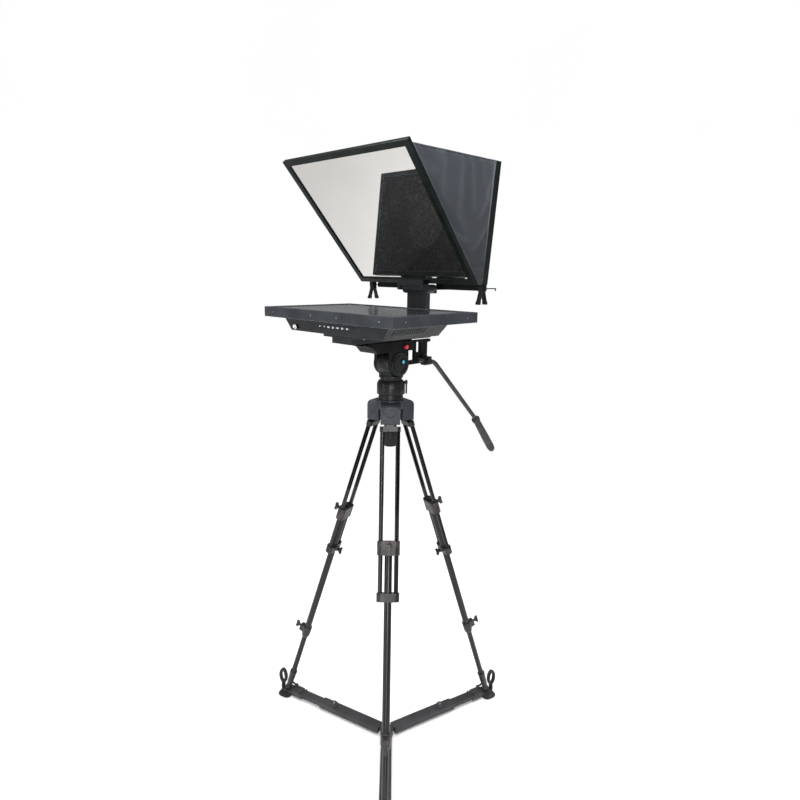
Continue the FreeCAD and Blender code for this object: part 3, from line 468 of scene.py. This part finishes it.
def ground_place(number):
    """Ground frame of a leg: the tripod's axis at the origin, X outwards along the spreader."""
    out = Vector(JOINTS[f"leg_{number}_spreader_slide"]["axis"])
    return Matrix((out, UP.cross(out), UP)).transposed().to_4x4()


def wing_outline():
    """A butterfly: two round lobes joined by a narrow waist, in millimetres."""
    reach, waist, lobe, steps = 13.4, 3.6, 5.4, 10
    half_sweep = math.radians(130)
    points = []
    for side in (1, -1):
        for i in range(steps + 1):
            angle = half_sweep * (2 * i / steps - 1)
            points.append((lobe * math.sin(angle) * side, (reach - lobe + lobe * math.cos(angle)) * side))
        points.append((-waist * side, 0))
    return points


def collar_knob(number, material):
    """Wing knob on the inner side of the lower collar, in place of its plain CAD shape."""
    seat = Matrix.Translation((-14 * MM, 0, -504 * MM))
    place = leg_place(number) @ seat @ Matrix.Rotation(-math.pi / 2, 4, "Y")
    bm = bmesh.new()
    profile = [(3.9, 0.4), (3.9, 8), (6.6, 9), (6.9, 10.5), (6.9, 16), (6.2, 17.3), (3.2, 17.6), (0, 17.4)]
    lathe(bm, profile, place, 32)
    slab(bm, wing_outline(), place @ Matrix.Rotation(math.pi / 2, 4, "Z"), 12.7, 19.3, 1.6, 4)
    mesh = from_bmesh(bm, "wing_knob")
    knob = add_object(f"leg_{number}_wing_knob", mesh, material, f"leg_{number}_knob")
    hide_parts(f"leg_{number}_collar_knob")


def foot_pad(number, material):
    """Rubber pad: a domed sole with a rolled rim, and the strap whose loop hooks over the foot."""
    place = ground_place(number)
    bm = bmesh.new()
    middle, half_length, half_width, squareness = 429.5, 27.2, 34.5, 0.6
    levels = [(0.90, 0.2), (0.97, 1.2), (1.0, 3.0), (1.0, 5.0), (0.96, 6.4), (0.90, 7.6), (0.82, 8.6),
              (0.6, 9.2), (0.3, 9.4)]
    rings = []
    for share, height in levels:
        ring = []
        for a in turns(56):
            x = middle + half_length * share * bulge(math.cos(a), squareness)
            y = half_width * share * bulge(math.sin(a), squareness)
            ring.append(bm.verts.new(place @ (Vector((x, y, height)) * MM)))
        rings.append(ring)
    skin(bm, rings)
    # the cup that the foot's ball sits in
    profile = [(14.6, 9.0), (16.5, 10.2), (16.8, 12.2), (15.6, 13.6), (13.6, 13.7), (11.8, 13.1), (9.0, 12.3),
               (4.0, 12.0), (0, 12.0)]
    lathe(bm, profile, place @ Matrix.Translation((424.8 * MM, 0, 0)), 40)
    # the strap up the outer side, which ends in a long loop
    across = place.to_3x3() @ Vector((0, 1, 0))
    steps = 12
    strap = [
        Vector((449.0 + 2.2 * math.sin(math.pi * i / steps), 0, 6 + 32 * i / steps)) for i in range(steps + 1)
    ]
    strap_along(bm, [place @ (point * MM) for point in strap], across, 17 * MM, 8.5 * MM)
    loop = [Vector((450.0 + 12.5 * math.cos(a), 0, 62.0 + 25.5 * math.sin(a))) for a in turns(48)]
    strap_along(bm, [place @ (point * MM) for point in loop], across, 13 * MM, 8.4 * MM, True)
    mesh = from_bmesh(bm, "rubber_foot")
    pad = add_object(f"leg_{number}_rubber_foot", mesh, material, f"leg_{number}_foot")
    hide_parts(f"leg_{number}_foot_pad")


def spreader_details(number, dark, pin):
    """Two moulded marks and two ribs on top of the channel, and the head of the lock's pin."""
    place = ground_place(number)
    channel_top = 27.8
    body = f"leg_{number}_channel"
    bm = bmesh.new()
    for start in (236, 250):
        slab(bm, rectangle(start, start + 7, -6, 6), place, channel_top, channel_top + 0.55, 0.2, 1)
    for low, high in ((-14.5, -12), (12, 14.5)):
        slab(bm, rectangle(30, 200, low, high), place, channel_top, channel_top + 0.8, 0.3, 2)
    add_object(f"leg_{number}_channel_marks", from_bmesh(bm, "marks"), dark, body, smooth=False)
    bm = bmesh.new()
    profile = [(4.2, 38.6), (4.2, 39.6), (3.4, 40.4), (1.6, 40.8), (0, 40.9)]
    lathe(bm, profile, place @ Matrix.Translation((218 * MM, 0, 0)), 24)
    add_object(f"leg_{number}_lock_pin", from_bmesh(bm, "lock_pin"), pin, body)


# ---------------------------------------------------------------- head pieces

def pan_grip(material):
    """Soft grip: a collar, a waist that swells towards the rounded end, and shallow finger rings."""
    place = look_frame(Vector((46, 370, 1060)) * MM, (0, 40, -49))
    waist, swell, steps = 11.6, 1.9, 55
    profile = [(7.3, -0.5), (13.4, -0.4), (14.3, 0.8), (14.3, 7.5), (13.4, 9), (12.0, 10.5), (waist, 16)]
    for i in range(steps + 1):
        share = i / steps
        radius = waist + swell * math.sin(share * math.pi * 0.62) ** 1.4
        groove = 0.28 if i % 4 == 0 and 4 < i < 50 else 0.0
        profile.append((radius - groove, 18 + share * 134))
    profile += [(13.1, 157), (12.4, 163), (10.6, 169), (7.6, 173.4), (3.8, 175.8), (0, 176.5)]
    bm = bmesh.new()
    lathe(bm, profile, place, 48)
    grip = add_object("soft_grip", from_bmesh(bm, "soft_grip"), material, "handle")
    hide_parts("pan_bar_grip")


def bubble(blue, ring):
    """Round level: a bevelled collar and a domed blue vial."""
    low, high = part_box("bubble_level")
    middle = (low + high) / 2
    place = look_frame((low.x, middle.y, middle.z), (1, 0, 0))
    bm = bmesh.new()
    lathe(bm, [(8.3, 0.4), (8.4, 3.0), (7.9, 3.8), (6.6, 3.9), (6.2, 3.2), (6.2, 1.0)], place, 40)
    add_object("level_collar", from_bmesh(bm, "level_collar"), ring, "cradle")
    bm = bmesh.new()
    lathe(bm, [(6.15, 1.2), (6.1, 2.4), (5.2, 3.2), (3.6, 3.7), (1.8, 3.9), (0, 3.95)], place, 40)
    vial = add_object("level_vial", from_bmesh(bm, "level_vial"), blue, "cradle")
    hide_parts("bubble_level")


def indicator_dots(material):
    """Two indicator lights and five button caps in one row along the housing's front."""
    pitch, wall_y, row_z = 18.8 * MM, -224.9 * MM, 1401 * MM
    low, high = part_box("menu_button_1")
    first_x = (low.x + high.x) / 2
    for step, name in ((-2, "power_light"), (-1, "signal_light")):
        place = look_frame((first_x + pitch * step, wall_y, row_z), (0, -1, 0))
        bm = bmesh.new()
        lathe(bm, [(2.3, -0.6), (2.3, 0.7), (1.6, 1.3), (0, 1.5)], place, 20)
        add_object(name, from_bmesh(bm, name), material, "prompter")
    for number in range(1, 6):
        low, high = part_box(f"menu_button_{number}")
        place = look_frame(((low.x + high.x) / 2, low.y + 0.6 * MM, (low.z + high.z) / 2), (0, -1, 0))
        bm = bmesh.new()
        lathe(bm, [(2.9, -12), (2.9, -0.1), (2.5, 0.45), (1.4, 0.58), (0, 0.6)], place, 24)
        cap = add_object(f"button_cap_{number}", from_bmesh(bm, "cap"), material, f"button_{number}")
        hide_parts(f"menu_button_{number}")


def front_lock(metal):
    """Round security lock on the housing's front, square to its leaning wall."""
    place = look_frame(Vector((-167, -223.8, 1391)) * MM, (0, -1, -0.13))
    bm = bmesh.new()
    profile = [(7.8, -3.0), (8.0, 1.6), (7.4, 2.6), (5.4, 2.7), (5.0, 1.4), (1.8, 1.4), (1.5, -0.4),
               (0, -0.4)]
    lathe(bm, profile, place, 32)
    add_object("front_lock_ring", from_bmesh(bm, "front_lock"), metal, "prompter")


# ---------------------------------------------------------------- hood

# The cloth lies an INSET inside the CAD solid's outer faces.
HOOD_LOW, HOOD_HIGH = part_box("hood_cloth")
HOOD_INSIDE = Vector((0, 40, 1700)) * MM
HINGE = Vector(JOINTS["mirror_tilt"]["pos_m"])
FRAME_LEAN = math.radians(131.86)
LENS = Vector((0, 137, 1690)) * MM
LENS_RADIUS = 73 * MM
GATHERS = 26
INSET = 0.9 * MM
SETTLING_FRAMES = 25
FARTHEST_SHIFT = 6.5 * MM
PIPING_SEED = 7


def hood_share(z):
    return (z - HOOD_LOW.z) / (HOOD_HIGH.z - HOOD_LOW.z)


def hood_half(z):
    """Half the hood's width at a height: the side walls lean out."""
    return (229 + 10 * hood_share(z)) * MM - INSET


def hood_rear(z):
    """Where the rear cloth is at a height: it leans back."""
    return (124 + 26 * hood_share(z)) * MM - INSET


def hood_front(z):
    """Just behind the glass frame's back face."""
    start_y = HINGE.y + 7 * MM * math.sin(FRAME_LEAN)
    start_z = HINGE.z - 7 * MM * math.cos(FRAME_LEAN)
    return start_y + (z - start_z) * math.cos(FRAME_LEAN) / math.sin(FRAME_LEAN) + 0.5 * MM


def hood_corner(side, rear, top):
    """A corner of the hood; the front top edge is tucked 5 mm down behind the glass frame."""
    tuck = 0 if rear else 5 * MM
    z = HOOD_HIGH.z - INSET - tuck if top else HOOD_LOW.z + INSET
    return Vector((side * hood_half(z), hood_rear(z) if rear else hood_front(z), z))


def cloth_panel(bm, corners, across, down):
    """A grid between four corners; returns its rim, which the seams hold."""
    a, b, c, d = corners
    grid = []
    for j in range(down + 1):
        v = j / down
        grid.append([
            bm.verts.new(a.lerp(b, i / across).lerp(d.lerp(c, i / across), v)) for i in range(across + 1)
        ])
    for j in range(down):
        for i in range(across):
            bm.faces.new((grid[j][i], grid[j][i + 1], grid[j + 1][i + 1], grid[j + 1][i]))
    return grid[0] + grid[-1] + [row[0] for row in grid] + [row[-1] for row in grid]


def rear_panel(bm):
    """The back of the hood: rings from the gathered lens opening out to the square rim; returns both rims."""
    ring_count = 16
    half, above, below = hood_half(LENS.z), HOOD_HIGH.z - INSET - LENS.z, LENS.z - HOOD_LOW.z - INSET
    rings = []
    for k in range(ring_count + 1):
        t = (k / ring_count) ** 1.25
        ring = []
        for a in turns(96, 0.5):
            c, s = math.cos(a), math.sin(a)
            x_in, z_in = LENS_RADIUS * c, LENS.z + LENS_RADIUS * s
            scale = 1 / max(abs(c) / half, abs(s) / (above if s > 0 else below))
            z_out = LENS.z + s * scale
            x_out = max(-hood_half(z_out), min(hood_half(z_out), c * scale))
            if abs(abs(c) * scale - half) < 1e-6:
                x_out = math.copysign(hood_half(z_out), c)
            x, z = x_in + (x_out - x_in) * t, z_in + (z_out - z_in) * t
            gather = 1.6 * MM * math.sin(GATHERS * a + 0.7 * math.sin(3 * a)) * math.exp(-k / 2.6)
            sunk = 1.2 * MM * math.exp(-k / 3)
            ring.append(bm.verts.new((x, hood_rear(z) + gather - sunk, z)))
        rings.append(ring)
    skin(bm, rings, capped=False)
    return rings[0] + rings[-1]


def relax_cloth(thing, pinned):
    """Give the cloth a little spare length and let it settle between its seams, then keep the result."""
    group = thing.vertex_groups.new(name="seams")
    group.add(pinned, 1.0, "REPLACE")
    rest = [v.co.copy() for v in thing.data.vertices]
    cloth = thing.modifiers.new("settle", "CLOTH")
    settings = cloth.settings
    settings.vertex_group_mass = "seams"
    settings.quality = 6
    settings.mass = 0.12
    settings.tension_stiffness = settings.compression_stiffness = 22
    settings.shear_stiffness = 6
    settings.bending_stiffness = 1.2
    settings.shrink_min = -0.012
    settings.air_damping = 3
    cloth.collision_settings.use_self_collision = False
    cloth.collision_settings.use_collision = False
    scene = bpy.context.scene
    for number in range(1, SETTLING_FRAMES + 1):
        scene.frame_set(number)
    evaluated = thing.evaluated_get(bpy.context.evaluated_depsgraph_get())
    moved = [v.co.copy() for v in evaluated.to_mesh().vertices]
    evaluated.to_mesh_clear()
    thing.modifiers.remove(cloth)
    scene.frame_set(1)
    for vertex, start, end in zip(thing.data.vertices, rest, moved):
        shift = end - start
        if shift.length > FARTHEST_SHIFT:
            shift *= FARTHEST_SHIFT / shift.length
        vertex.co = start + shift
    thing.vertex_groups.clear()


def hood_panels(ends, cloth, lining):
    """Four panels behind the glass and the rear panel, settled and then given their thickness."""
    bm = bmesh.new()
    rims = cloth_panel(bm, (ends[-1, 0, 1], ends[1, 0, 1], ends[1, 1, 1], ends[-1, 1, 1]), 44, 30)
    rims += cloth_panel(bm, (ends[-1, 0, 0], ends[-1, 1, 0], ends[1, 1, 0], ends[1, 0, 0]), 4, 44)
    for side in (-1, 1):
        corners = (ends[side, 0, 1], ends[side, 1, 1], ends[side, 1, 0], ends[side, 0, 0])
        rims += cloth_panel(bm, corners, 34, 30)
    rims += rear_panel(bm)
    bm.verts.index_update()
    pinned = sorted({vertex.index for vertex in rims})
    mesh = bpy.data.meshes.new("hood_panels")
    bm.to_mesh(mesh)
    bm.free()
    thing = bpy.data.objects.new("hood_panels", mesh)
    bpy.context.scene.collection.objects.link(thing)
    for polygon in mesh.polygons:
        if polygon.normal.dot(polygon.center - HOOD_INSIDE) < 0:
            polygon.flip()
    relax_cloth(thing, pinned)
    mesh.materials.append(cloth)
    mesh.materials.append(lining)
    mesh.shade_smooth()
    shell = thing.modifiers.new("thickness", "SOLIDIFY")
    shell.thickness = 1.2 * MM
    shell.offset = -1
    shell.material_offset = 1
    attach(thing, "mirror_unit")
    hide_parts("hood_cloth")
    return thing


def hood_piping(ends, material):
    """Piping along the twelve seams, a little uneven as sewn."""
    seams = []
    for side in (-1, 1):
        seams += [(ends[side, 0, 1], ends[side, 1, 1]), (ends[side, 1, 1], ends[side, 1, 0]),
                  (ends[side, 0, 1], ends[side, 0, 0]), (ends[side, 0, 0], ends[side, 1, 0])]
    seams += [(ends[-1, rear, top], ends[1, rear, top]) for rear, top in ((0, 1), (1, 1), (1, 0), (0, 0))]
    steps = 40
    noise.seed_set(PIPING_SEED)  # without a seed, noise_vector differs from run to run
    bm = bmesh.new()
    for index, (start, end) in enumerate(seams):
        points = []
        for i in range(steps + 1):
            point = start.lerp(end, i / steps)
            wave = noise.noise_vector(point * 30 + Vector((index, 0, 0))) * 0.4 * MM
            points.append(point + wave)
        tube_along(bm, points, 1.3 * MM, 8)
    return add_object("hood_piping", from_bmesh(bm, "piping"), material, "mirror_unit")


def lens_elastic(material):
    """The elastic that gathers the cloth round the lens opening."""
    ring = []
    for a in turns(96):
        x, z = LENS_RADIUS * math.cos(a), LENS.z + LENS_RADIUS * math.sin(a)
        wave = 0.9 * MM * math.sin(GATHERS * a)
        ring.append(Vector((x, hood_rear(z) - 1.0 * MM + wave, z)))
    bm = bmesh.new()
    tube_along(bm, ring, 3.0 * MM, 12, True)
    return add_object("lens_elastic", from_bmesh(bm, "lens_elastic"), material, "mirror_unit")


def hood(cloth, lining, piping_highlight_material):
    """Sewn hood between the glass frame and its rear frame."""
    ends = {(s, r, t): hood_corner(s, r, t) for s in (-1, 1) for r in (0, 1) for t in (0, 1)}
    thing = hood_panels(ends, cloth, lining)
    piping = hood_piping(ends, piping_highlight_material)
    elastic = lens_elastic(piping_highlight_material)


# ---------------------------------------------------------------- stage

def area_light(name, place, target, size, power, tall=None):
    """A soft light aimed at target: square, or a strip where tall gives its height."""
    data = bpy.data.lights.new(name, "AREA")
    data.energy = power
    data.size = size
    if tall:
        data.shape = "RECTANGLE"
        data.size_y = tall
    light = bpy.data.objects.new(name, data)
    light.location = place
    light.rotation_mode = "QUATERNION"
    light.rotation_quaternion = (Vector(target) - Vector(place)).to_track_quat("-Z", "Y")
    bpy.context.scene.collection.objects.link(light)
    return light


def pale_floor():
    """Matt white floor that fades into the pale dome a few metres out."""
    s = Shader("pale_floor")
    distance = s.node("ShaderNodeVectorMath", operation="LENGTH")
    s.link(s.place, distance.inputs[0])
    far = s.spread(distance.outputs["Value"], 0.9, 2.6)
    near_tone = s.mix(s.spread(s.noise(2, 3), 0.3, 0.7), (0.80, 0.80, 0.80), (0.83, 0.83, 0.83))
    s.link(far, s.surface.inputs["Emission Strength"])
    return s.finish(s.mix(far, near_tone, (0.0, 0.0, 0.0)), 0.9, None, Emission_Color=(1.0, 1.0, 1.0, 1.0),
                    Specular_IOR_Level=0.0)


def stage():
    """White studio: a softly lit floor, and a pale dome that only the camera sees."""
    world = bpy.data.worlds.new("studio")
    bpy.context.scene.world = world
    world.use_nodes = True
    background = world.node_tree.nodes["Background"]
    background.inputs["Color"].default_value = (0.97, 0.985, 1.0, 1.0)
    background.inputs["Strength"].default_value = 0.34
    area_light("overhead", (0.5, -0.6, 4.0), (0, 0, 0), 2.4, 190)
    area_light("key", (2.7, -2.3, 2.7), (0, 0, 1.2), 0.9, 60)
    area_light("strip_right", (2.3, -2.9, 1.3), (0, 0, 0.8), 0.35, 70, 3.0)
    area_light("strip_left", (-1.2, -3.6, 1.4), (0, 0, 0.9), 0.3, 40, 3.0)
    for name, place, power in (("fill_back", (0.6, 3.9, 2.3), 110), ("fill_left", (-3.6, 0.9, 2.1), 80)):
        area_light(name, place, (0, 0, 1.2), 1.6, power).visible_glossy = False

    dome_radius = 12
    bm = bmesh.new()
    bmesh.ops.create_circle(bm, cap_ends=True, segments=64, radius=dome_radius - 0.1)
    floor = bpy.data.objects.new("floor", from_bmesh(bm, "floor"))
    floor.data.materials.append(pale_floor())
    floor.location.z = -0.5 * MM
    bpy.context.scene.collection.objects.link(floor)

    glow = Shader("pale_dome")
    haze = glow.mix(glow.spread(glow.noise(0.3, 2), 0.3, 0.7), (0.985, 0.985, 0.985), (1.0, 1.0, 1.0))
    glow.link(haze, glow.surface.inputs["Emission Color"])
    glow.finish((0.0, 0.0, 0.0), 1.0, Emission_Strength=1.0)
    bm = bmesh.new()
    bmesh.ops.create_uvsphere(bm, u_segments=48, v_segments=24, radius=dome_radius)
    dome = bpy.data.objects.new("dome", from_bmesh(bm, "dome"))
    dome.data.materials.append(glow.material)
    bpy.context.scene.collection.objects.link(dome)
    dome.visible_diffuse = dome.visible_glossy = dome.visible_transmission = dome.visible_shadow = False
    bpy.context.scene.view_settings.view_transform = "Standard"


def camera():
    """From the front right, level with the column's top, looking 12 degrees down."""
    stand, height, distance = math.radians(44.3), 1.548, 1.773
    heading, pitch, roll = math.radians(43.4), math.radians(12), math.radians(0.93)
    level = Vector((-math.sin(heading), math.cos(heading), 0))
    ahead = level * math.cos(pitch) - UP * math.sin(pitch)
    right = Vector((math.cos(heading), math.sin(heading), 0))
    up = right.cross(ahead)
    turned_right = right * math.cos(roll) + up * math.sin(roll)
    turned_up = up * math.cos(roll) - right * math.sin(roll)
    data = bpy.data.cameras.new("camera")
    data.sensor_width = 36
    data.lens = 27.09
    data.clip_start, data.clip_end = 0.05, 60
    thing = bpy.data.objects.new("camera", data)
    turn = Matrix((turned_right, turned_up, -ahead)).transposed().to_4x4()
    place = Vector((distance * math.sin(stand), -distance * math.cos(stand), height))
    thing.matrix_world = Matrix.Translation(place) @ turn
    bpy.context.scene.collection.objects.link(thing)
    bpy.context.scene.camera = thing


# ---------------------------------------------------------------- the object

def dress():
    """Give every CAD node its material and soft edges, and add the finer pieces."""
    head_black = (0.004, 0.0042, 0.0046), (0.009, 0.0095, 0.0102)
    casting = powder_coat("blue_grey_casting", (0.013, 0.015, 0.018), (0.024, 0.028, 0.034), 0.42,
                          bump=0.2, grain=900)
    head = powder_coat("black_head_casting", *head_black, 0.38, bump=0.16, shine=0.22)
    cradle = powder_coat("cradle_casting", *head_black, 0.58, bump=0.2, shine=0.10)
    base = powder_coat("dark_anodised", (0.008, 0.009, 0.011), (0.015, 0.017, 0.020), 0.36, bump=0.05)
    frame_black = powder_coat("satin_black_frame", (0.002, 0.0042, 0.0036), (0.0045, 0.0075, 0.0066), 0.4,
                              bump=0.06, shine=0.14)
    # painted highlight: the bezel's strong pale edges are partly wear and partly a painted edge highlight
    bezel = powder_coat("bezel_coat", (0.013, 0.015, 0.018), (0.022, 0.025, 0.030), 0.44,
                        bump=0.10, wear_and_highlight_share=0.65, worn_and_highlight_edge=(0.42, 0.45, 0.50))
    housing = powder_coat("housing_coat", (0.0045, 0.005, 0.006), (0.009, 0.010, 0.0115), 0.4,
                          bump=0.14, wear_and_highlight_share=0.45)
    spreader = powder_coat("spreader_moulding", (0.022, 0.022, 0.023), (0.038, 0.038, 0.040), 0.52,
                           bump=0.3, grain=700)
    knob = powder_coat("knob_moulding", (0.004, 0.004, 0.0045), (0.010, 0.010, 0.011), 0.46,
                       bump=0.2, grain=800, shine=0.2)
    black_rubber = rubber("black_rubber", (0.010, 0.010, 0.010), (0.035, 0.034, 0.033))
    screw = steel("screw_steel", (0.34, 0.34, 0.35))
    red = glossy("red_plastic", (0.42, 0.010, 0.022), (0.72, 0.030, 0.055))
    bar = powder_coat("bar_coat", (0.012, 0.012, 0.012), (0.026, 0.025, 0.024), 0.36, bump=0.08)
    chosen = {
        "spreader_hub": spreader, "crown": casting, "bowl_clamp_knob": knob, "half_ball": head,
        "pan_base": head, "pan_lock_lever": knob, "head_housing": head, "side_caps": head,
        "tilt_cradle": cradle, "tilt_lock_lever": knob, "release_button": red, "bar_clamp": head,
        "pan_bar": bar, "quick_release_plate": base, "base_rail": base, "vesa_plate": base,
        "monitor_bezel": bezel, "monitor_rear_housing": housing, "screen_glass": display(),
        "lcd_module": base, "driver_board": circuit_board(), "machine_screws": screw, "column": base,
        "column_bracket": base, "camera_plate": base, "glass_frame": frame_black,
        "beam_splitter_glass": beam_splitter(), "hood_rear_frame": frame_black, "hood_clips": knob,
        "clip_left_lever": knob, "clip_right_lever": knob,
    }
    for number in LEGS:
        metal = leg_metal(number)
        for stage_name in ("upper", "mid", "lower"):
            chosen[f"leg_{number}_{stage_name}_stage"] = metal
        chosen[f"leg_{number}_spreader_bar"] = spreader
        chosen[f"leg_{number}_spreader_channel"] = spreader
    sharp = {"beam_splitter_glass", "screen_glass", "driver_board", "lcd_module"}
    slight = {"machine_screws", "hood_clips"}
    for name, material in chosen.items():
        thing = NODES[name]
        thing.data.materials.clear()
        thing.data.materials.append(material)
        if name not in sharp:
            soften(thing, 0.5 * MM if name in slight else 0.8 * MM)

    for number in LEGS:
        collar_knob(number, knob)
        foot_pad(number, black_rubber)
        spreader_details(number, spreader, screw)
    pan_grip(rubber("grip_rubber", (0.022, 0.022, 0.022), (0.046, 0.045, 0.044), 0.6, 900))
    bubble(glossy("blue_level", (0.01, 0.16, 0.30), (0.10, 0.55, 0.78), 0.08), head)
    indicator_dots(glossy("pale_button", (0.35, 0.38, 0.42), (0.62, 0.66, 0.70), 0.3))
    front_lock(steel("lock_steel", (0.78, 0.78, 0.79), 0.34))
    cloth = woven("hood_weave", (0.010, 0.012, 0.014), (0.030, 0.034, 0.041))
    lining = woven("hood_lining", (0.004, 0.004, 0.004), (0.008, 0.008, 0.008), rough=0.9)
    # painted highlight: the piping is paler than the cloth, standing in for the light line along the hood's
    # top edge
    piping = woven("piping_weave_painted_highlight", (0.016, 0.018, 0.021), (0.060, 0.066, 0.078), 0.8 * MM)
    hood(cloth, lining, piping)


dress()
stage()
camera()
